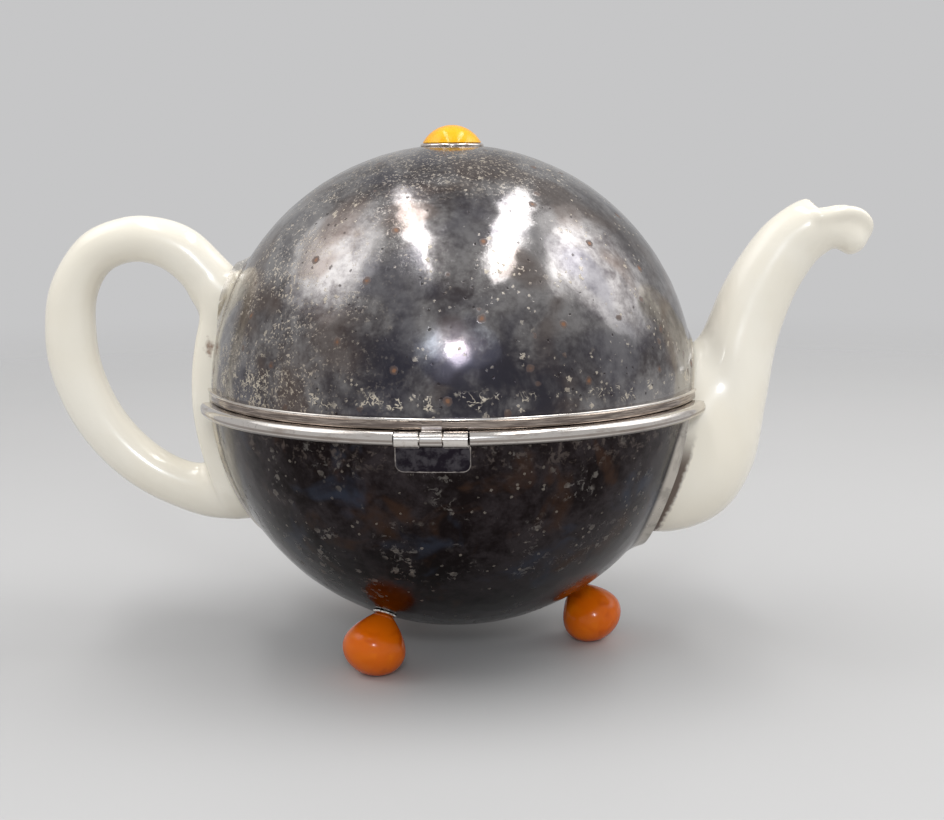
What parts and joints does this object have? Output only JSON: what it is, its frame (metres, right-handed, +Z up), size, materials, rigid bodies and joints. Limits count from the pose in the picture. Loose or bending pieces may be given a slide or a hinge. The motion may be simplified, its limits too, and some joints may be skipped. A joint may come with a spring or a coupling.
{
  "type": "insulated teapot",
  "caption": "Globe-shaped porcelain teapot in a hinged, hammered silver-plated cosy with felt lining, amber ball feet and knob, loop handle and curved spout.",
  "frame": {"origin": "on the table under the centre of the ball, at the level of the three feet", "axes": "+Z up, +X towards the spout, -Y the side with the hinge, -X the handle"},
  "size_m": [0.2762, 0.1716, 0.1742],
  "materials": {
    "plate_upper": "polished",
    "plate_lower": "polished",
    "rim_silver": "polished",
    "amber_foot": "gloss",
    "amber_knob": "gloss",
    "porcelain": "gloss",
    "felt": "matte",
    "brass_hardware": "satin"
  },
  "bodies": {
    "base": {"lower_shell": "plate_lower", "lower_rim_front": "rim_silver", "lower_rim_back": "rim_silver", "lower_lining": "felt", "foot_spout": "amber_foot", "foot_front": "amber_foot", "foot_back": "amber_foot", "foot_collar_spout": "rim_silver", "foot_collar_front": "rim_silver", "foot_collar_back": "rim_silver", "foot_screw_spout": "brass_hardware", "foot_screw_front": "brass_hardware", "foot_screw_back": "brass_hardware", "foot_washer_spout": "brass_hardware", "foot_washer_front": "brass_hardware", "foot_washer_back": "brass_hardware", "hinge_lower_leaf": "rim_silver", "hinge_pin": "brass_hardware", "pot_body": "porcelain", "pot_handle": "porcelain", "pot_spout": "porcelain"},
    "dome": {"upper_shell": "plate_upper", "upper_rim_front": "rim_silver", "upper_rim_back": "rim_silver", "upper_lining": "felt", "hinge_upper_leaf": "rim_silver", "knob": "amber_knob", "knob_plate": "rim_silver", "knob_stud": "brass_hardware", "knob_nut": "brass_hardware"},
    "lid": {"pot_lid": "porcelain"}
  },
  "joints": [
    {"name": "cover_hinge", "type": "hinge", "parent": "base", "child": "dome", "pos_m": [0, -0.084, 0.08422], "axis": [1, 0, 0], "range_deg": [0, 105]},
    {"name": "lid_turn", "type": "hinge", "parent": "base", "child": "lid", "pos_m": [0, 0, 0.14142], "axis": [0, 0, 1], "continuous": true}
  ]
}
